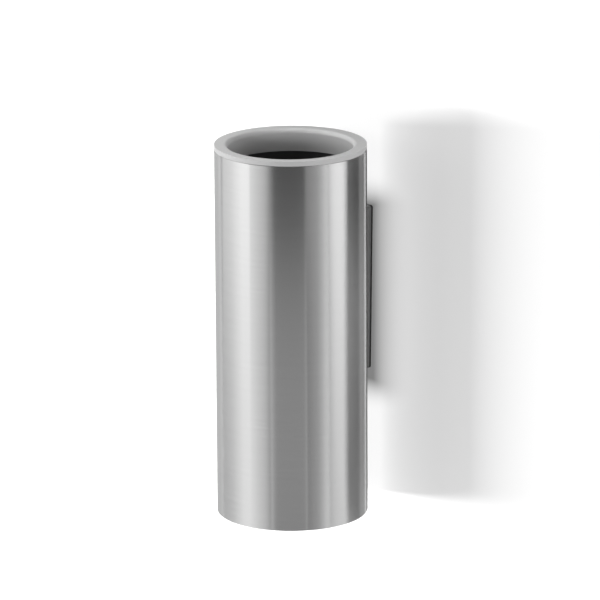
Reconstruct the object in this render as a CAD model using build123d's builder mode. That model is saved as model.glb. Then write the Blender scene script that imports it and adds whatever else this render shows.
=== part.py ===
"""Wall-hung umbrella stand: a brushed steel tube on a wedge bracket, with a lift-out liner.

Frame: the origin is the centre of the bracket's back face, on the wall. +Z is up, +Y points into the
wall and +X is to the right of someone who faces the wall. The tube's axis is upright, in front of the
bracket. Lengths are in millimetres.

The tube drops onto the wall from above: its hanger plate is a shallow wedge that slides down behind
the lips of the wall channel and stands on a rubber buffer. The collar, the liner and their screws
lift out of the tube as one piece, and the drip mat lifts out of the liner.
"""
import os

from build123d import *

# ---- Driving dimensions ----------------------------------------------------------------------
BODY_RADIUS = 80.0  # outside of the steel tube
BODY_HEIGHT = 400.0  # lower edge of the tube to the top of the collar
BODY_WALL = 1.5
WALL_GAP = 15.0  # from the wall to the nearest line of the tube
BRACKET_HEIGHT = 180.0
BRACKET_DROP = 81.0  # top of the collar down to the top of the bracket
BRACKET_TOP_WIDTH = 77.0
BRACKET_BOTTOM_WIDTH = 71.0
MOUTH_RADIUS = 65.0  # clear opening at the top of the collar
THROAT_RADIUS = 70.9  # clear opening at the bottom of the collar
COLLAR_FLANGE = 5.0  # height of the collar that shows above the steel
COLLAR_DEPTH = 25.5  # top of the collar to the lower edge of its inner wall
LINER_RADIUS = 73.0  # outside of the liner, at its top

# ---- Fits ------------------------------------------------------------------------------------
FIXED_GAP = 0.05  # between pieces that are fixed to each other
SEAT_GAP = 0.1  # where a loose piece rests on its stop
SLIDE_GAP = 0.3  # between the hanger plate and the channel, all round

# ---- Wall bracket ----------------------------------------------------------------------------
PAD_THICKNESS = 3.0
CHANNEL_SHEET = 2.5  # back and side walls of the channel
CHANNEL_LIP = 2.4  # thickness of the front lips
LIP_REACH = 7.0  # how far each lip comes in from its side wall
CHANNEL_FLOOR = 2.0
BRACKET_CORNER = 2.5
CHANNEL_EDGE = 0.8  # rounding of the channel's long front edges
BUFFER_THICKNESS = 3.0
BUFFER_SIDE_GAP = 0.5
WALL_HOLE_RADIUS = 2.5
WALL_SINK_RADIUS = 4.2
WALL_SINK_ANGLE = 90
WALL_HOLE_SPACING_X = 40.0
WALL_HOLE_SPACING_Z = 120.0
PAD_HOLE_RADIUS = 3.2

# ---- Hanger ----------------------------------------------------------------------------------
HANGER_THICKNESS = 3.5
HANGER_TOP_DROP = 6.0  # below the top of the channel
HANGER_CORNER = 3.0
SADDLE_WIDTH = 46.0
SADDLE_HEIGHT = 156.0
SADDLE_EDGE = 1.0
FIXING_COUNT = 4
FIXING_PITCH = 38.0
FIXING_HOLE_RADIUS = 2.75
SCREW_RADIUS = 2.5
SCREW_LENGTH = 11.4
SCREW_HEAD_RADIUS = 4.75
SCREW_HEAD_HEIGHT = 2.7
SCREW_HEAD_ROUND = 1.6
SOCKET_ACROSS_CORNERS = 3.4
SOCKET_DEPTH = 1.5
WASHER_RADIUS = 6.0
WASHER_THICKNESS = 1.2  # at the washer's middle
NUT_RADIUS = 4.0
NUT_LENGTH = 3.2

# ---- Tube and base ---------------------------------------------------------------------------
TUBE_EDGE = 0.4
BASE_RECESS = 4.0
BASE_THICKNESS = 2.0
VENT_RADIUS = 6.0

# ---- Collar ----------------------------------------------------------------------------------
COLLAR_TOP_THICKNESS = 3.0
COLLAR_OUTER_ROUND = 0.8
COLLAR_INNER_ROUND = 4.0
COLLAR_INNER_WALL = 2.0
SPIGOT_CLEARANCE = 0.4
SPIGOT_WALL = 2.2
RIB_COUNT = 12
RIB_THICKNESS = 2.0
RIB_DEPTH = 15.0
BOSS_COUNT = 4
BOSS_WIDTH = 7.0
RING_RADIUS = 0.9  # section of the rubber grip ring
RING_DROP = 9.0  # below the steel's top edge
RING_GROOVE_GAP = 0.1
PILOT_RADIUS = 1.3
PILOT_DEPTH = 9.0
TAPPING_SCREW_CIRCLE = 75.6
TAPPING_SCREW_RADIUS = 1.25
TAPPING_SCREW_LENGTH = 8.0
TAPPING_HEAD_RADIUS = 2.2
TAPPING_HEAD_HEIGHT = 1.6
TAPPING_HEAD_ROUND = 0.7

# ---- Liner and mat ---------------------------------------------------------------------------
LINER_WALL = 1.5
LINER_FLOOR = 2.0
LINER_DRAFT = 1.5  # how much smaller the liner's radius is at its floor
LINER_ROUND = 4.0
LINER_FLANGE_RADIUS = 77.8
LINER_FLANGE = 2.0
LINER_LIFT = 9.0  # lower edge of the tube to the underside of the liner
MAT_RADIUS = 62.5  # passes through the collar's mouth
MAT_THICKNESS = 2.5
MAT_RIB_HEIGHT = 1.5
MAT_RIB_WIDTH = 2.0
MAT_RIB_RADII = (10.0, 20.0, 30.0, 40.0, 50.0, 60.0)
MAT_HOLE_RADIUS = 2.0
MAT_HOLE_CIRCLES = ((15.0, 6), (35.0, 12), (55.0, 18))

# ---- Levels and planes that follow from them -------------------------------------------------
AXIS_Y = -(WALL_GAP + BODY_RADIUS)
BRACKET_TOP_Z = BRACKET_HEIGHT / 2
BRACKET_BOTTOM_Z = -BRACKET_HEIGHT / 2
RIM_Z = BRACKET_TOP_Z + BRACKET_DROP
BASE_Z = RIM_Z - BODY_HEIGHT
FLANGE_Z = RIM_Z - COLLAR_FLANGE
TUBE_TOP_Z = FLANGE_Z - SEAT_GAP
THROAT_Z = RIM_Z - COLLAR_DEPTH
BORE_RADIUS = BODY_RADIUS - BODY_WALL
SPIGOT_RADIUS = BORE_RADIUS - SPIGOT_CLEARANCE
SPIGOT_INNER_RADIUS = SPIGOT_RADIUS - SPIGOT_WALL
HOLLOW_TOP_Z = RIM_Z - COLLAR_TOP_THICKNESS
RING_Z = TUBE_TOP_Z - RING_DROP
LINER_BOTTOM_Z = BASE_Z + LINER_LIFT
MAT_Z = LINER_BOTTOM_Z + LINER_FLOOR + SEAT_GAP

# distances from the wall, along -Y
PLATE_FRONT = PAD_THICKNESS + CHANNEL_SHEET
HANGER_BACK = PLATE_FRONT + SLIDE_GAP
HANGER_FRONT = HANGER_BACK + HANGER_THICKNESS
LIP_BACK = HANGER_FRONT + SLIDE_GAP
CHANNEL_FRONT = LIP_BACK + CHANNEL_LIP
WASHER_SEAT = WALL_GAP + BODY_WALL
HEAD_SEAT = WASHER_SEAT + WASHER_THICKNESS

CHANNEL_FLOOR_Z = BRACKET_BOTTOM_Z + CHANNEL_FLOOR
HANGER_BOTTOM_Z = CHANNEL_FLOOR_Z + BUFFER_THICKNESS + SEAT_GAP
HANGER_TOP_Z = BRACKET_TOP_Z - HANGER_TOP_DROP

TUBE_AXIS = Axis((0, AXIS_Y, 0), (0, 0, 1))
TUBE_SECTION = Plane((0, AXIS_Y, 0), x_dir=(1, 0, 0), z_dir=(0, -1, 0))


def tube_plane(height):
    """A level plane, centred on the tube's axis."""
    return Plane((0, AXIS_Y, height))


def wall_plane(distance):
    """An upright plane in front of the wall: X across, Z up, extruding away from the wall."""
    return Plane.XZ.offset(distance)


def bracket_half_width(height):
    """Half the bracket's outside width: it narrows evenly from top to bottom."""
    share = (height - BRACKET_BOTTOM_Z) / BRACKET_HEIGHT
    return (BRACKET_BOTTOM_WIDTH + (BRACKET_TOP_WIDTH - BRACKET_BOTTOM_WIDTH) * share) / 2


def wedge(inset, low, high):
    """Corners of the bracket's outline between two heights, moved in from its slanted sides."""
    low_half = bracket_half_width(low) - inset
    high_half = bracket_half_width(high) - inset
    return [(-low_half, low), (low_half, low), (high_half, high), (-high_half, high)]


# ---- Wall bracket: pad, channel and buffer ---------------------------------------------------
with BuildPart() as wall_pad:
    with BuildSketch(wall_plane(0)) as pad_outline:
        Polygon(*wedge(0, BRACKET_BOTTOM_Z, BRACKET_TOP_Z), align=None)
        fillet(pad_outline.vertices(), BRACKET_CORNER)
        with GridLocations(WALL_HOLE_SPACING_X, WALL_HOLE_SPACING_Z, 2, 2):
            Circle(PAD_HOLE_RADIUS, mode=Mode.SUBTRACT)
    extrude(amount=PAD_THICKNESS - FIXED_GAP)

with BuildPart() as wall_channel:
    with BuildSketch(wall_plane(PAD_THICKNESS)) as channel_outline:
        Polygon(*wedge(0, BRACKET_BOTTOM_Z, BRACKET_TOP_Z), align=None)
        fillet(channel_outline.vertices(), BRACKET_CORNER)
    extrude(amount=CHANNEL_FRONT - PAD_THICKNESS)
    fillet(wall_channel.faces().sort_by(Axis.Y)[0].edges(), CHANNEL_EDGE)
    # the slot that the hanger plate slides in, open at the top
    with BuildSketch(wall_plane(PLATE_FRONT)):
        Polygon(*wedge(CHANNEL_SHEET, CHANNEL_FLOOR_Z, BRACKET_TOP_Z + CHANNEL_FLOOR), align=None)
    extrude(amount=LIP_BACK - PLATE_FRONT, mode=Mode.SUBTRACT)
    # the way between the lips, for the saddle
    with BuildSketch(wall_plane(LIP_BACK)):
        slot_inset = CHANNEL_SHEET + LIP_REACH
        Polygon(*wedge(slot_inset, CHANNEL_FLOOR_Z, BRACKET_TOP_Z + CHANNEL_FLOOR), align=None)
    extrude(amount=CHANNEL_LIP, mode=Mode.SUBTRACT)
    with Locations(wall_plane(PLATE_FRONT)):
        with GridLocations(WALL_HOLE_SPACING_X, WALL_HOLE_SPACING_Z, 2, 2):
            CounterSinkHole(WALL_HOLE_RADIUS, WALL_SINK_RADIUS, CHANNEL_SHEET, WALL_SINK_ANGLE)

with BuildPart() as stop_buffer:
    with BuildSketch(wall_plane(HANGER_BACK)):
        buffer_inset = CHANNEL_SHEET + BUFFER_SIDE_GAP
        buffer_low = CHANNEL_FLOOR_Z + FIXED_GAP
        Polygon(*wedge(buffer_inset, buffer_low, CHANNEL_FLOOR_Z + BUFFER_THICKNESS), align=None)
    extrude(amount=HANGER_THICKNESS)

# ---- Hanger: wedge plate, nuts, saddle, screws and washers -----------------------------------
with BuildPart() as hanger_plate:
    with BuildSketch(wall_plane(HANGER_BACK)) as hanger_outline:
        Polygon(*wedge(CHANNEL_SHEET + SLIDE_GAP, HANGER_BOTTOM_Z, HANGER_TOP_Z), align=None)
        fillet(hanger_outline.vertices(), HANGER_CORNER)
        with GridLocations(1, FIXING_PITCH, 1, FIXING_COUNT):
            Circle(NUT_RADIUS + FIXED_GAP, mode=Mode.SUBTRACT)
    extrude(amount=HANGER_THICKNESS)

with BuildPart() as hanger_nuts:
    with BuildSketch(wall_plane(HANGER_BACK)):
        with GridLocations(1, FIXING_PITCH, 1, FIXING_COUNT):
            Circle(NUT_RADIUS)
            Circle(SCREW_RADIUS + FIXED_GAP, mode=Mode.SUBTRACT)
    extrude(amount=NUT_LENGTH)

with BuildPart() as saddle:
    with BuildSketch(wall_plane(HANGER_FRONT + FIXED_GAP)):
        RectangleRounded(SADDLE_WIDTH, SADDLE_HEIGHT, SADDLE_EDGE)
        with GridLocations(1, FIXING_PITCH, 1, FIXING_COUNT):
            Circle(FIXING_HOLE_RADIUS, mode=Mode.SUBTRACT)
    extrude(amount=BODY_RADIUS / 2)
    # its front is hollowed to sit on the tube
    with BuildSketch(tube_plane(-SADDLE_HEIGHT)):
        Circle(BODY_RADIUS + FIXED_GAP)
    extrude(amount=2 * SADDLE_HEIGHT, mode=Mode.SUBTRACT)

with BuildPart() as hanger_screws:
    with BuildSketch(wall_plane(HEAD_SEAT)):
        with GridLocations(1, FIXING_PITCH, 1, FIXING_COUNT):
            Circle(SCREW_HEAD_RADIUS)
    extrude(amount=SCREW_HEAD_HEIGHT)
    head_rims = hanger_screws.edges().filter_by(GeomType.CIRCLE).group_by(Axis.Y)[0]
    fillet(head_rims, SCREW_HEAD_ROUND)
    with BuildSketch(wall_plane(HEAD_SEAT + SCREW_HEAD_HEIGHT)):
        with GridLocations(1, FIXING_PITCH, 1, FIXING_COUNT):
            RegularPolygon(SOCKET_ACROSS_CORNERS / 2, 6)
    extrude(amount=-SOCKET_DEPTH, mode=Mode.SUBTRACT)
    with BuildSketch(wall_plane(HEAD_SEAT)):
        with GridLocations(1, FIXING_PITCH, 1, FIXING_COUNT):
            Circle(SCREW_RADIUS)
    extrude(amount=-SCREW_LENGTH)

with BuildPart() as radius_washers:
    with BuildSketch(wall_plane(WALL_GAP)):
        with GridLocations(1, FIXING_PITCH, 1, FIXING_COUNT):
            Circle(WASHER_RADIUS)
            Circle(FIXING_HOLE_RADIUS, mode=Mode.SUBTRACT)
    extrude(amount=HEAD_SEAT - WALL_GAP - FIXED_GAP)
    # the outer side follows the tube's bore
    with BuildSketch(tube_plane(-SADDLE_HEIGHT)):
        Circle(BORE_RADIUS - FIXED_GAP)
    extrude(amount=2 * SADDLE_HEIGHT, mode=Mode.INTERSECT)

# ---- Steel body: tube and base plate ---------------------------------------------------------
with BuildPart() as outer_tube:
    with BuildSketch(TUBE_SECTION) as tube_wall:
        with Locations((BODY_RADIUS - BODY_WALL / 2, (TUBE_TOP_Z + BASE_Z) / 2)):
            Rectangle(BODY_WALL, TUBE_TOP_Z - BASE_Z)
        fillet(tube_wall.vertices(), TUBE_EDGE)
    revolve(axis=TUBE_AXIS)
    with BuildSketch(wall_plane(0)):
        with GridLocations(1, FIXING_PITCH, 1, FIXING_COUNT):
            Circle(FIXING_HOLE_RADIUS)
    extrude(amount=BODY_RADIUS, mode=Mode.SUBTRACT)

with BuildPart() as base_plate:
    with BuildSketch(tube_plane(BASE_Z + BASE_RECESS)):
        Circle(BORE_RADIUS - FIXED_GAP)
        Circle(VENT_RADIUS, mode=Mode.SUBTRACT)
    extrude(amount=BASE_THICKNESS)

# ---- Lift-out insert: collar, grip ring, liner and screws ------------------------------------
with BuildPart() as collar:
    with BuildSketch(TUBE_SECTION) as collar_section:
        with BuildLine():
            Polyline(
                (MOUTH_RADIUS, RIM_Z),
                (BODY_RADIUS, RIM_Z),
                (BODY_RADIUS, FLANGE_Z),
                (SPIGOT_RADIUS, FLANGE_Z),
                (SPIGOT_RADIUS, THROAT_Z),
                (SPIGOT_INNER_RADIUS, THROAT_Z),
                (SPIGOT_INNER_RADIUS, HOLLOW_TOP_Z),
                (MOUTH_RADIUS + COLLAR_INNER_WALL, HOLLOW_TOP_Z),
                (THROAT_RADIUS + COLLAR_INNER_WALL, THROAT_Z),
                (THROAT_RADIUS, THROAT_Z),
                close=True,
            )
        make_face()
        top_corners = collar_section.vertices().group_by(Axis.Y)[-1].sort_by(Axis.X)
        fillet(top_corners[0], COLLAR_INNER_ROUND)
        fillet(top_corners[-1], COLLAR_OUTER_ROUND)
    revolve(axis=TUBE_AXIS)
    # moulded ribs stiffen the hollow underside, and bosses take the screws
    rib_inside = (MOUTH_RADIUS + THROAT_RADIUS) / 2 + COLLAR_INNER_WALL
    rib_outside = SPIGOT_INNER_RADIUS + FIXED_GAP
    with BuildSketch(tube_plane(HOLLOW_TOP_Z)):
        with PolarLocations((rib_inside + rib_outside) / 2, RIB_COUNT):
            Rectangle(rib_outside - rib_inside, RIB_THICKNESS)
    extrude(amount=-RIB_DEPTH)
    boss_inside = THROAT_RADIUS + COLLAR_INNER_WALL / 2
    boss_outside = SPIGOT_INNER_RADIUS + SPIGOT_WALL / 2
    with BuildSketch(tube_plane(HOLLOW_TOP_Z)):
        with PolarLocations((boss_inside + boss_outside) / 2, BOSS_COUNT):
            Rectangle(boss_outside - boss_inside, BOSS_WIDTH)
    extrude(amount=THROAT_Z - HOLLOW_TOP_Z)
    with BuildSketch(tube_plane(THROAT_Z)):
        with PolarLocations(TAPPING_SCREW_CIRCLE, BOSS_COUNT):
            Circle(PILOT_RADIUS)
    extrude(amount=PILOT_DEPTH, mode=Mode.SUBTRACT)
    with BuildSketch(TUBE_SECTION):
        with Locations((BORE_RADIUS - FIXED_GAP - RING_RADIUS, RING_Z)):
            Circle(RING_RADIUS + RING_GROOVE_GAP)
    revolve(axis=TUBE_AXIS, mode=Mode.SUBTRACT)

with BuildPart() as grip_ring:
    with BuildSketch(TUBE_SECTION):
        with Locations((BORE_RADIUS - FIXED_GAP - RING_RADIUS, RING_Z)):
            Circle(RING_RADIUS)
    revolve(axis=TUBE_AXIS)

with BuildPart() as liner:
    flange_top = THROAT_Z - FIXED_GAP
    floor_radius = LINER_RADIUS - LINER_DRAFT
    with BuildSketch(TUBE_SECTION) as liner_section:
        with BuildLine():
            Polyline(
                (0, LINER_BOTTOM_Z),
                (floor_radius, LINER_BOTTOM_Z),
                (LINER_RADIUS, flange_top - LINER_FLANGE),
                (LINER_FLANGE_RADIUS, flange_top - LINER_FLANGE),
                (LINER_FLANGE_RADIUS, flange_top),
                (LINER_RADIUS - LINER_WALL, flange_top),
                (floor_radius - LINER_WALL, LINER_BOTTOM_Z + LINER_FLOOR),
                (0, LINER_BOTTOM_Z + LINER_FLOOR),
                close=True,
            )
        make_face()
        floor_corners = liner_section.vertices().sort_by(Axis.Y)[:4].sort_by(Axis.X)
        fillet(floor_corners[-1], LINER_ROUND)
        fillet(floor_corners[-2], LINER_ROUND - LINER_WALL)
    revolve(axis=TUBE_AXIS)
    with BuildSketch(tube_plane(flange_top)):
        with PolarLocations(TAPPING_SCREW_CIRCLE, BOSS_COUNT):
            Circle(PILOT_RADIUS)
    extrude(amount=-LINER_FLANGE, mode=Mode.SUBTRACT)

with BuildPart() as collar_screws:
    head_top = THROAT_Z - LINER_FLANGE - 2 * FIXED_GAP
    with BuildSketch(tube_plane(head_top - TAPPING_HEAD_HEIGHT)):
        with PolarLocations(TAPPING_SCREW_CIRCLE, BOSS_COUNT):
            Circle(TAPPING_HEAD_RADIUS)
    extrude(amount=TAPPING_HEAD_HEIGHT)
    pan_rims = collar_screws.edges().filter_by(GeomType.CIRCLE).group_by(Axis.Z)[0]
    fillet(pan_rims, TAPPING_HEAD_ROUND)
    with BuildSketch(tube_plane(head_top)):
        with PolarLocations(TAPPING_SCREW_CIRCLE, BOSS_COUNT):
            Circle(TAPPING_SCREW_RADIUS)
    extrude(amount=TAPPING_SCREW_LENGTH)

# ---- Drip mat --------------------------------------------------------------------------------
with BuildPart() as drip_mat:
    with BuildSketch(tube_plane(MAT_Z)):
        Circle(MAT_RADIUS)
        for circle, count in MAT_HOLE_CIRCLES:
            with PolarLocations(circle, count):
                Circle(MAT_HOLE_RADIUS, mode=Mode.SUBTRACT)
    extrude(amount=MAT_THICKNESS)
    for rib_radius in MAT_RIB_RADII:
        with BuildSketch(tube_plane(MAT_Z + MAT_THICKNESS)):
            Circle(rib_radius + MAT_RIB_WIDTH / 2)
            Circle(rib_radius - MAT_RIB_WIDTH / 2, mode=Mode.SUBTRACT)
        extrude(amount=MAT_RIB_HEIGHT)

# ---- Files -----------------------------------------------------------------------------------
pieces = {
    "wall_pad": wall_pad,
    "wall_channel": wall_channel,
    "stop_buffer": stop_buffer,
    "hanger_plate": hanger_plate,
    "hanger_nuts": hanger_nuts,
    "saddle": saddle,
    "hanger_screws": hanger_screws,
    "radius_washers": radius_washers,
    "outer_tube": outer_tube,
    "base_plate": base_plate,
    "collar": collar,
    "grip_ring": grip_ring,
    "liner": liner,
    "collar_screws": collar_screws,
    "drip_mat": drip_mat,
}
os.makedirs("parts", exist_ok=True)
for name, piece in pieces.items():
    piece.part.label = name
    export_step(piece.part, f"parts/{name}.step")
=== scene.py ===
"""Looks for the wall-hung umbrella stand: materials, wall, lights and camera around the CAD frame.

Metres, in the CAD model's own frame: the origin is the centre of the bracket's back face on the wall,
+Z is up and +Y points into the wall.
"""

import math

import bpy
from mathutils import Matrix, Vector


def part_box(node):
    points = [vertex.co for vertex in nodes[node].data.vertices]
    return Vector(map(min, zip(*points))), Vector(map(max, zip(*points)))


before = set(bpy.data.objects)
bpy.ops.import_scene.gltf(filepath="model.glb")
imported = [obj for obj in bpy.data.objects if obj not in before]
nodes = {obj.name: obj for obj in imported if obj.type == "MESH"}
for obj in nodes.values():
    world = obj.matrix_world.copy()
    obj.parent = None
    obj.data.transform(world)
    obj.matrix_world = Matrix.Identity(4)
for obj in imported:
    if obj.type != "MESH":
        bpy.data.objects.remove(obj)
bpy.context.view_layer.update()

# ---- Places that follow from the frame -------------------------------------------------------
tube_low, tube_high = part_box("outer_tube")
collar_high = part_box("collar")[1]
tube_axis = (tube_low + tube_high) / 2
rim_z = collar_high.z
base_z = tube_low.z
body_radius = (tube_high.x - tube_low.x) / 2


def on_axis(height):
    """The point of the tube's axis at this height."""
    return Vector((tube_axis.x, tube_axis.y, height))


middle = on_axis((rim_z + base_z) / 2)

# ---- Camera: a long lens, to the right of the stand and a little above it --------------------
VIEW_AZIMUTH = math.radians(36.0)
VIEW_ELEVATION = math.radians(15.49)
VIEW_ROLL = math.radians(0.32)
VIEW_DISTANCE = 5.536
FOCAL_LENGTH = 314.5
SENSOR_WIDTH = 36.0
CLIP_END = 50.0
CENTRE_RIGHT = 0.009  # the picture's centre lies this far to the right of the body's middle
CENTRE_UP = 0.029  # and this far above it


def towards(azimuth, elevation):
    """Unit vector from the stand to a viewer or lamp: azimuth 0 is straight out from the wall."""
    level = math.cos(elevation)
    return Vector((math.sin(azimuth) * level, -math.cos(azimuth) * level, math.sin(elevation)))


def make_camera():
    back = towards(VIEW_AZIMUTH, VIEW_ELEVATION)
    level_right = Vector((math.cos(VIEW_AZIMUTH), math.sin(VIEW_AZIMUTH), 0))
    level_up = back.cross(level_right)
    right = level_right * math.cos(VIEW_ROLL) - level_up * math.sin(VIEW_ROLL)
    up = level_up * math.cos(VIEW_ROLL) + level_right * math.sin(VIEW_ROLL)
    place = middle + back * VIEW_DISTANCE + right * CENTRE_RIGHT + up * CENTRE_UP
    data = bpy.data.cameras.new("camera")
    data.lens = FOCAL_LENGTH
    data.sensor_width = SENSOR_WIDTH
    data.clip_end = CLIP_END
    camera = bpy.data.objects.new("camera", data)
    bpy.context.scene.collection.objects.link(camera)
    turn = Matrix((right, up, back)).transposed().to_4x4()
    camera.matrix_world = Matrix.Translation(place) @ turn
    bpy.context.scene.camera = camera


# ---- Shader helpers --------------------------------------------------------------------------
def new_material(name):
    material = bpy.data.materials.new(name)
    material.use_nodes = True
    tree = material.node_tree
    return material, tree, tree.nodes["Principled BSDF"]


def add(tree, kind, **values):
    """A new node; values go to its settings, or to its inputs by name."""
    node = tree.nodes.new(kind)
    for key, value in values.items():
        if hasattr(node, key):
            setattr(node, key, value)
        else:
            node.inputs[key.replace("_", " ")].default_value = value
    return node


def maths(tree, operation, first, second=0.0):
    node = add(tree, "ShaderNodeMath", operation=operation)
    for socket, value in zip(node.inputs, (first, second)):
        if isinstance(value, (int, float)):
            socket.default_value = value
        else:
            tree.links.new(value, socket)
    return node.outputs[0]


def product(tree, first, *others):
    for other in others:
        first = maths(tree, "MULTIPLY", first, other)
    return first


def ranged(tree, value, low, high):
    """Spreads a 0 to 1 signal between low and high."""
    node = add(tree, "ShaderNodeMapRange", To_Min=low, To_Max=high)
    tree.links.new(value, node.inputs["Value"])
    return node.outputs["Result"]


def faded(tree, value, start, end, low=0.0, high=1.0, curve="SMOOTHSTEP"):
    """Goes smoothly from low, where value is start, to high, where it is end. high may be a socket."""
    node = add(tree, "ShaderNodeMapRange", interpolation_type=curve, From_Min=start, From_Max=end, To_Min=low)
    tree.links.new(value, node.inputs["Value"])
    if isinstance(high, float):
        node.inputs["To Max"].default_value = high
    else:
        tree.links.new(high, node.inputs["To Max"])
    return node.outputs["Result"]


def split_place(tree, space="Object"):
    """The X, Y and Z of the shaded point. In the world, "Generated" is the direction of the ray."""
    place = add(tree, "ShaderNodeTexCoord")
    split = add(tree, "ShaderNodeSeparateXYZ")
    tree.links.new(place.outputs[space], split.inputs[0])
    return split.outputs


def azimuth_of(tree, across, outward):
    """Angle from straight out of the wall towards its right, in radians."""
    return maths(tree, "ARCTAN2", across, outward)


def noise(tree, vector, scale, detail=2.0, roughness=0.5):
    node = add(tree, "ShaderNodeTexNoise", Scale=scale, Detail=detail, Roughness=roughness)
    tree.links.new(vector, node.inputs["Vector"])
    return node.outputs["Fac"]


def bump(tree, shader, height, distance, strength=1.0):
    node = add(tree, "ShaderNodeBump", Distance=distance, Strength=strength)
    tree.links.new(height, node.inputs["Height"])
    tree.links.new(node.outputs[0], shader.inputs["Normal"])


def greys(tree, value, low, high):
    """A grey colour between two levels, from a 0 to 1 signal."""
    join = add(tree, "ShaderNodeCombineColor")
    level = ranged(tree, value, low, high)
    for socket in join.inputs:
        tree.links.new(level, socket)
    return join.outputs[0]


# ---- Materials -------------------------------------------------------------------------------
# Grain and fine streaks: octaves of noise, and how strong each is against the one before
FINE_DETAIL = 3.0
FINE_ROUGHNESS = 0.6
# Brushed tube: streaks per turn round it and per metre along it, in two sizes
FINE_STREAKS = (10, 2200)
BROAD_STREAKS = (5, 260)
FINE_SHARE = 0.65
TUBE_GREYS = (0.62, 0.76)
TUBE_ROUGHNESS = (0.19, 0.25)
TUBE_SCRATCH = 0.000003
TUBE_SCRATCH_STRENGTH = 0.3
# Flat steel: grain per metre along X, Y and Z, and how far its grey and roughness vary
STEEL_GRAIN = (2600, 2600, 30)
STEEL_GREY_SPREAD = 0.06
STEEL_ROUGHNESS_SPREAD = 0.07
STEEL_SCRATCH = 0.00001
STEEL_SCRATCH_STRENGTH = 0.4
# Mouldings: clouds per metre, and how far the roughness varies
MOULDED_CLOUDS = 14.0
MOULDED_ROUGHNESS_SPREAD = 0.06


def around_tube(tree, per_turn, per_metre):
    """Texture coordinates wrapped round the tube: along it, they run per_metre, and round it, per_turn.
    The seam is at the back, where the hanger covers it."""
    place = split_place(tree)
    angle = azimuth_of(tree, place["X"], maths(tree, "SUBTRACT", tube_axis.y, place["Y"]))
    join = add(tree, "ShaderNodeCombineXYZ")
    tree.links.new(maths(tree, "MULTIPLY", angle, per_turn / math.tau), join.inputs[0])
    tree.links.new(maths(tree, "MULTIPLY", place["Z"], per_metre), join.inputs[1])
    return join.outputs[0]


def brushed_tube():
    """Satin stainless steel, brushed round the tube: the gloss stretches up and down."""
    material, tree, shader = new_material("brushed_tube")
    fine = noise(tree, around_tube(tree, *FINE_STREAKS), 1.0, FINE_DETAIL, FINE_ROUGHNESS)
    broad = noise(tree, around_tube(tree, *BROAD_STREAKS), 1.0)
    fine_part = maths(tree, "MULTIPLY", fine, FINE_SHARE)
    both = maths(tree, "ADD", fine_part, maths(tree, "MULTIPLY", broad, 1 - FINE_SHARE))
    tree.links.new(greys(tree, both, *TUBE_GREYS), shader.inputs["Base Color"])
    tree.links.new(ranged(tree, both, *TUBE_ROUGHNESS), shader.inputs["Roughness"])
    shader.inputs["Metallic"].default_value = 1.0
    shader.inputs["Anisotropic"].default_value = 1.0
    upright = add(tree, "ShaderNodeCombineXYZ", Z=1.0)
    tree.links.new(upright.outputs[0], shader.inputs["Tangent"])
    bump(tree, shader, fine, TUBE_SCRATCH, TUBE_SCRATCH_STRENGTH)
    return material


def varied(tree, signal, centre, spread, make=ranged):
    """Spreads a 0 to 1 signal to both sides of a centre."""
    return make(tree, signal, centre - spread, centre + spread)


def plain_steel(name, level, roughness, metal=1.0):
    """Flat metal with a fine grain that runs upwards."""
    material, tree, shader = new_material(name)
    place = add(tree, "ShaderNodeTexCoord")
    stretch = add(tree, "ShaderNodeMapping", Scale=STEEL_GRAIN)
    tree.links.new(place.outputs["Object"], stretch.inputs["Vector"])
    grain = noise(tree, stretch.outputs[0], 1.0)
    tree.links.new(varied(tree, grain, level, STEEL_GREY_SPREAD, greys), shader.inputs["Base Color"])
    tree.links.new(varied(tree, grain, roughness, STEEL_ROUGHNESS_SPREAD), shader.inputs["Roughness"])
    shader.inputs["Metallic"].default_value = metal
    bump(tree, shader, grain, STEEL_SCRATCH, STEEL_SCRATCH_STRENGTH)
    return material


def moulded(name, level, roughness, grain_size, depth, spread=0.015, gloss=0.5):
    """Moulded plastic or rubber with a fine grain."""
    material, tree, shader = new_material(name)
    place = add(tree, "ShaderNodeTexCoord")
    grain = noise(tree, place.outputs["Object"], 1 / grain_size, FINE_DETAIL, FINE_ROUGHNESS)
    cloud = noise(tree, place.outputs["Object"], MOULDED_CLOUDS)
    tree.links.new(varied(tree, cloud, level, spread, greys), shader.inputs["Base Color"])
    tree.links.new(varied(tree, grain, roughness, MOULDED_ROUGHNESS_SPREAD), shader.inputs["Roughness"])
    shader.inputs["Specular IOR Level"].default_value = gloss
    bump(tree, shader, grain, depth)
    return material


def make_finishes():
    """The finish of each CAD node, by the node's name."""
    steel = plain_steel("bracket_steel", level=0.72, roughness=0.5, metal=0.5)
    zinc = plain_steel("zinc_fixings", level=0.62, roughness=0.24)
    aluminium = plain_steel("cast_aluminium", level=0.5, roughness=0.5)
    rubber = moulded("black_rubber", level=0.085, roughness=0.7,
                     grain_size=0.0005, depth=0.00005, spread=0.005)
    grey = moulded("collar_plastic", level=0.5, roughness=0.6,
                   grain_size=0.0006, depth=0.00002, gloss=0.3)
    black = moulded("liner_plastic", level=0.028, roughness=0.4,
                    grain_size=0.0008, depth=0.00003, spread=0.004)
    mat = moulded("mat_rubber", level=0.03, roughness=0.65,
                  grain_size=0.0006, depth=0.00005, spread=0.006)
    return {
        "outer_tube": brushed_tube(),
        "wall_channel": steel,
        "hanger_plate": steel,
        "base_plate": steel,
        "hanger_nuts": zinc,
        "hanger_screws": zinc,
        "radius_washers": zinc,
        "collar_screws": zinc,
        "saddle": aluminium,
        "collar": grey,
        "liner": black,
        "wall_pad": rubber,
        "stop_buffer": rubber,
        "grip_ring": rubber,
        "drip_mat": mat,
    }


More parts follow.
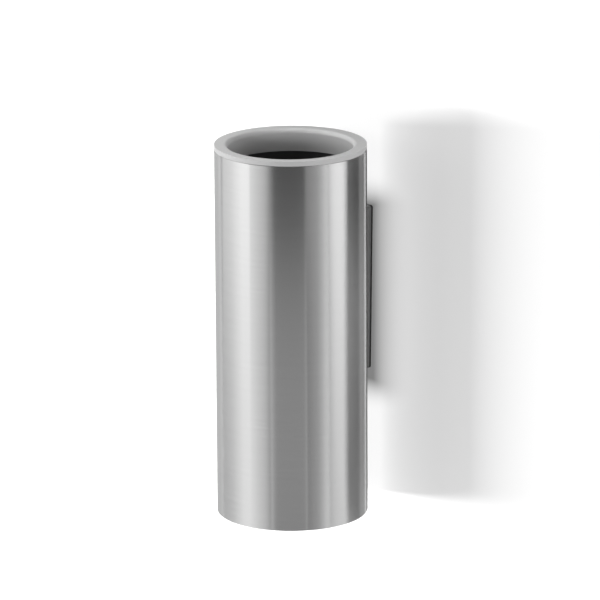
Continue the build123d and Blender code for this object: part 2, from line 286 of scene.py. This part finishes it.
def dress():
    """Puts its finish in every material slot of each CAD node."""
    for name, material in make_finishes().items():
        slots = nodes[name].data.materials
        if len(slots) == 0:
            slots.append(material)
        for number in range(len(slots)):
            slots[number] = material


# ---- Stage: a white wall ---------------------------------------------------------------------
# Two sheets, one close behind the other. The camera sees the front one, which is paler, as in a retouched
# studio shot, and looks through it from behind. The other is what the metal mirrors and what bounces light;
# light and shade are painted on it.
SEEN_HALF = 6.0
SEEN_BEHIND = 0.0003
BOUNCE_HALF = 1.6
BOUNCE_BEHIND = 0.0006
WALL_WHITE = 0.8
# The seen wall: the share of its white that is painted, its own glow, and the painted shade close round the
# bracket, which darkens both
CAMERA_SHARE = 0.5
CAMERA_LIFT = 0.53
CONTACT_REACH = 0.04
CONTACT_DARK = 0.52
CONTACT_SQUEEZE = 0.69  # distances sideways count this much, so that the shade reaches further there
CONTACT_BELOW = 0.012
# The mirrored wall's painted light and shade: painted darker left of the stand and lighter at its right, and
# darker towards the foot of the stand than at its rim
SIDE_PAINTED_SHADE = 0.4
FOOT_PAINTED_SHADE = 0.76
FOOT_BELOW = 0.2
TOP_PAINTED_LIGHT = 1.15
FAR_PAINTED_LIGHT = 1.15  # a little brighter again far to the left
FAR_START = -1.5
FAR_END = -0.4
# The mirrored wall is painted dark round the mouth of the stand, and a little round its lower half: a painted
# shadow
END_DARK = 0.65
END_OUTSIDE = 0.205
END_INSIDE = 0.195
MOUTH_START = 0.2  # below the rim
MOUTH_FULL = 0.03
LOWER_SHARE = 0.25
# The mirrored wall is painted dark close round the bracket too, in the narrow gap behind the tube: painted
# shade
GAP_LEVEL = 0.4
GAP_START = 0.053
GAP_END = 0.059


def wall_sheet(name, behind, half):
    """A square sheet with an empty material, and the node tree of that material."""
    corners = [(-half, -half), (half, -half), (half, half), (-half, half)]
    mesh = bpy.data.meshes.new(name)
    mesh.from_pydata([(x, behind, z) for x, z in corners], [], [(0, 1, 2, 3)])
    sheet = bpy.data.objects.new(name, mesh)
    bpy.context.scene.collection.objects.link(sheet)
    sheet.visible_shadow = False
    material, tree, shader = new_material(name)
    tree.nodes.remove(shader)
    mesh.materials.append(material)
    return sheet, tree


def distance_from_bracket(tree):
    """How far a point of the wall is from the bracket's outline, which hangs a little lower here, so that the
    painted shade reaches further below the bracket.
    """
    low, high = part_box("wall_channel")
    low = low - Vector((0, 0, CONTACT_BELOW))
    centre = (low + high) / 2
    half = (high - low) / 2
    place = split_place(tree)
    squares = []
    for axis, from_centre, reach in (("X", centre.x, half.x), ("Z", centre.z, half.z)):
        offset = maths(tree, "ABSOLUTE", maths(tree, "SUBTRACT", place[axis], from_centre))
        beyond = maths(tree, "MAXIMUM", maths(tree, "SUBTRACT", offset, reach), 0.0)
        squares.append(maths(tree, "POWER", beyond, 2.0))
    sideways = maths(tree, "MULTIPLY", squares[0], CONTACT_SQUEEZE ** 2)
    return maths(tree, "SQRT", maths(tree, "ADD", sideways, squares[1]))


def make_seen_wall():
    sheet, tree = wall_sheet("seen_wall", SEEN_BEHIND, SEEN_HALF)
    sheet.visible_diffuse = False
    sheet.visible_glossy = False
    distance = distance_from_bracket(tree)
    # Painted contact shadow: both the paint and the glow are darkened close round the bracket.
    painted_shade_factor = faded(tree, distance, -CONTACT_REACH, CONTACT_REACH, -CONTACT_DARK, curve="SMOOTHERSTEP")
    paint = add(tree, "ShaderNodeBsdfDiffuse")
    tree.links.new(maths(tree, "MULTIPLY", painted_shade_factor, WALL_WHITE * CAMERA_SHARE), paint.inputs["Color"])
    lift = add(tree, "ShaderNodeEmission")
    tree.links.new(maths(tree, "MULTIPLY", painted_shade_factor, CAMERA_LIFT), lift.inputs["Strength"])
    pale = add(tree, "ShaderNodeAddShader")
    tree.links.new(paint.outputs[0], pale.inputs[0])
    tree.links.new(lift.outputs[0], pale.inputs[1])
    side = add(tree, "ShaderNodeNewGeometry")
    clear = add(tree, "ShaderNodeBsdfTransparent")
    one_way = add(tree, "ShaderNodeMixShader")
    tree.links.new(side.outputs["Backfacing"], one_way.inputs[0])
    tree.links.new(pale.outputs[0], one_way.inputs[1])
    tree.links.new(clear.outputs[0], one_way.inputs[2])
    tree.links.new(one_way.outputs[0], tree.nodes["Material Output"].inputs["Surface"])
    return sheet


def painted_broad_light(tree, place):
    """The mirrored wall's painted light and shade from left to right and from foot to rim."""
    down = faded(tree, place["Z"], base_z - FOOT_BELOW, rim_z, FOOT_PAINTED_SHADE, TOP_PAINTED_LIGHT)
    white = maths(tree, "MULTIPLY", down, WALL_WHITE)
    across = faded(tree, place["X"], -body_radius * 2, body_radius, SIDE_PAINTED_SHADE, white)
    far = faded(tree, place["X"], FAR_START, FAR_END, FAR_PAINTED_LIGHT)
    return maths(tree, "MULTIPLY", across, far)


def painted_end_shade(tree, aside, height):
    """1 where the mirrored wall is clear, and less round the mouth and the lower half of the stand, where a
    shadow is painted.
    """
    beside = faded(tree, aside, END_OUTSIDE, END_INSIDE)
    mouth = faded(tree, height, rim_z - MOUTH_START, rim_z - MOUTH_FULL)
    lower = faded(tree, height, middle.z, base_z, high=LOWER_SHARE)
    dark = product(tree, beside, maths(tree, "ADD", mouth, lower), -END_DARK)
    return maths(tree, "ADD", dark, 1.0)


def make_bounce_wall():
    sheet, tree = wall_sheet("bounce_wall", BOUNCE_BEHIND, BOUNCE_HALF)
    sheet.visible_camera = False
    place = split_place(tree)
    aside = maths(tree, "ABSOLUTE", place["X"])
    # Painted shade in the narrow gap behind the tube.
    gap = faded(tree, aside, GAP_START, GAP_END, GAP_LEVEL)
    # The tone is painted light and shade, not the wall's own colour.
    tone = product(tree, painted_broad_light(tree, place), painted_end_shade(tree, aside, place["Z"]), gap)
    paint = add(tree, "ShaderNodeBsdfDiffuse")
    tree.links.new(tone, paint.inputs["Color"])
    tree.links.new(paint.outputs[0], tree.nodes["Material Output"].inputs["Surface"])
    return sheet


# ---- Lights ----------------------------------------------------------------------------------
# The lamp that throws the shadow on the wall: how far left of the stand and below its middle
WALL_KEY_LEFT = 3.62
WALL_KEY_BELOW = 0.8
# The lamp on the far side of the mouth: how far behind the axis and below the rim
MOUTH_GLOW_BEHIND = 0.03
MOUTH_GLOW_BELOW = 0.003
# The two cards that the tube mirrors: their heights, and how far the top of one and the foot of the other
# are below the rim
LOW_CARD_HEIGHT = 0.5
LOW_CARD_TOP = 0.19
UPPER_CARD_HEIGHT = 0.9
UPPER_CARD_FOOT = 0.47
# The strips at the wall that the tube's right edge mirrors
EDGE_STRIP_PLACE = Vector((0.0645, -0.01, 0.07))
EDGE_GLOW_PLACE = Vector((0.0895, -0.01, 0.07))
MIRRORED = ("diffuse", "glossy")


def pieces(*names):
    return [nodes[name] for name in names]


def group(name, members):
    collection = bpy.data.collections.new(name)
    for member in members:
        collection.objects.link(member)
    return collection


def softbox(name, azimuth, elevation, distance, size, power,
            seen_by=("diffuse",), only=None, centre=middle, blockers=None):
    """A rectangular lamp that faces the centre and isn't itself in the picture. Azimuth and elevation are in
    degrees. only: what it lights, if not everything. blockers: what throws its shadow, likewise."""
    data = bpy.data.lights.new(name, "AREA")
    data.shape = "RECTANGLE"
    data.size, data.size_y = size
    data.energy = power
    lamp = bpy.data.objects.new(name, data)
    bpy.context.scene.collection.objects.link(lamp)
    out = towards(math.radians(azimuth), math.radians(elevation))
    lamp.location = centre + out * distance
    lamp.rotation_mode = "QUATERNION"
    lamp.rotation_quaternion = out.to_track_quat("Z", "Y")
    lamp.visible_camera = False
    lamp.visible_diffuse = "diffuse" in seen_by
    lamp.visible_glossy = "glossy" in seen_by
    if only:
        lamp.light_linking.receiver_collection = group(name + "_lit", only)
    if blockers:
        lamp.light_linking.blocker_collection = group(name + "_blockers", blockers)


def light_walls(seen_wall, bounce_wall):
    """Two lamps from the left throw the shadow on the seen wall. The key lights the mirrored one."""
    key_centre = Vector((-WALL_KEY_LEFT, 0, middle.z - WALL_KEY_BELOW))
    softbox("wall_key", azimuth=0, elevation=0, distance=3.66, size=(2.53, 0.55), power=472,
            only=[seen_wall], centre=key_centre)
    softbox("gap_light", azimuth=-81, elevation=-4, distance=2.5, size=(0.35, 0.3), power=300,
            only=[seen_wall], blockers=pieces("outer_tube", "collar", "liner"))
    softbox("key", azimuth=-46, elevation=10, distance=5.0, size=(0.9, 0.5), power=330, only=[bounce_wall])


def light_mouth():
    """Four lamps for the collar and what hangs under it."""
    insert = pieces("collar", "liner", "collar_screws", "drip_mat")
    mouth = on_axis(rim_z)
    softbox("mouth_left", azimuth=-62, elevation=46, distance=1.2, size=(0.5, 0.4), power=13,
            only=insert, centre=mouth)
    softbox("mouth_front", azimuth=12, elevation=3, distance=1.2, size=(0.6, 0.19), power=6.0,
            only=insert, centre=mouth)
    softbox("mouth_right", azimuth=120, elevation=7, distance=1.2, size=(0.5, 0.3), power=5.5,
            only=insert, centre=mouth)
    far_side = mouth - towards(VIEW_AZIMUTH, 0) * MOUTH_GLOW_BEHIND - Vector((0, 0, MOUTH_GLOW_BELOW))
    softbox("mouth_glow", azimuth=16, elevation=0, distance=0, size=(0.04, 0.004), power=0.003,
            only=insert, centre=far_side)


def light_stand():
    """A fill for the bracket, a card for the tube's dark stripe further down, a card for its bright stripe
    further up, and two strips for its right edge."""
    softbox("back_fill", azimuth=-155, elevation=25, distance=1.2, size=(0.6, 0.6), power=16,
            only=pieces("wall_pad", "wall_channel", "hanger_plate"))
    low_centre = on_axis(rim_z - LOW_CARD_TOP - LOW_CARD_HEIGHT / 2)
    softbox("low_card", azimuth=31.6, elevation=0, distance=0.45, size=(0.432, LOW_CARD_HEIGHT), power=0.21,
            seen_by=MIRRORED, centre=low_centre)
    upper_centre = on_axis(rim_z - UPPER_CARD_FOOT + UPPER_CARD_HEIGHT / 2)
    softbox("upper_card", azimuth=-56, elevation=0, distance=1.2, size=(1.36, UPPER_CARD_HEIGHT), power=1.3,
            seen_by=MIRRORED, centre=upper_centre)
    softbox("edge_strip", azimuth=180, elevation=0, distance=0.006, size=(0.012, 0.66), power=0.017,
            seen_by=("glossy",), centre=EDGE_STRIP_PLACE)
    softbox("edge_glow", azimuth=180, elevation=0, distance=0.006, size=(0.03, 0.66), power=0.01,
            seen_by=("glossy",), centre=EDGE_GLOW_PLACE)


# ---- World: the studio that the metal mirrors ------------------------------------------------
# Radiance by azimuth, in degrees from straight out of the wall towards its right
STUDIO = (
    (-90, 0.7), (-75, 0.8), (-65, 0.9), (-58, 1.04), (-51, 1.15), (-44, 1.27), (-33, 1.29),
    (-25, 1.2), (-18, 1.04), (-12, 0.95), (-5, 0.81), (1, 0.6), (7, 0.2), (12, 0.07),
    (56.5, 0.07), (59.5, 0.38), (66, 0.42), (77, 0.53), (84, 0.72), (90, 0.95), (98, 1.1),
)
STUDIO_SCALE = 1.5  # a ramp holds levels up to 1, so they are stored divided by this
CEILING = 0.2  # radiance overhead
CEILING_START = math.sin(math.radians(12))
CEILING_FULL = math.sin(math.radians(45))
BEHIND_WALL = math.sin(math.radians(8))  # further behind than this, the studio is black


def studio_level(tree, azimuth):
    """The studio's radiance at this azimuth."""
    share = maths(tree, "ADD", maths(tree, "MULTIPLY", azimuth, 1 / math.tau), 0.5)
    ramp = add(tree, "ShaderNodeValToRGB")
    tree.links.new(share, ramp.inputs[0])
    stops = ramp.color_ramp.elements
    stops.remove(stops[1])
    for degrees, radiance in STUDIO:
        stop = stops.new(degrees / 360 + 0.5)
        level = radiance / STUDIO_SCALE
        stop.color = (level, level, level, 1)
    stops.remove(stops[0])
    return maths(tree, "MULTIPLY", ramp.outputs["Color"], STUDIO_SCALE)


def make_room(tree):
    """The studio's light: by azimuth near the horizon, dim overhead and black behind the wall."""
    direction = split_place(tree, "Generated")
    outward = maths(tree, "MULTIPLY", direction["Y"], -1.0)
    around = studio_level(tree, azimuth_of(tree, direction["X"], outward))
    overhead = faded(tree, direction["Z"], CEILING_START, CEILING_FULL)
    level = add(tree, "ShaderNodeMix", data_type="FLOAT")
    tree.links.new(overhead, level.inputs[0])
    tree.links.new(around, level.inputs[2])
    level.inputs[3].default_value = CEILING
    ahead = maths(tree, "GREATER_THAN", outward, -BEHIND_WALL)
    room = add(tree, "ShaderNodeBackground")
    tree.links.new(maths(tree, "MULTIPLY", level.outputs[0], ahead), room.inputs["Strength"])
    return room.outputs[0]


def make_world():
    """White to the camera, and to everything else a studio that is bright at the left and dark in front."""
    world = bpy.data.worlds.new("studio")
    world.use_nodes = True
    tree = world.node_tree
    white = tree.nodes["Background"]
    white.inputs["Color"].default_value = (1, 1, 1, 1)
    white.inputs["Strength"].default_value = 1.0
    ray = add(tree, "ShaderNodeLightPath")
    mix = add(tree, "ShaderNodeMixShader")
    tree.links.new(ray.outputs["Is Camera Ray"], mix.inputs[0])
    tree.links.new(make_room(tree), mix.inputs[1])
    tree.links.new(white.outputs[0], mix.inputs[2])
    tree.links.new(mix.outputs[0], tree.nodes["World Output"].inputs["Surface"])
    bpy.context.scene.world = world


make_camera()
dress()
light_walls(make_seen_wall(), make_bounce_wall())
light_mouth()
light_stand()
make_world()
bpy.context.scene.view_settings.view_transform = "Standard"
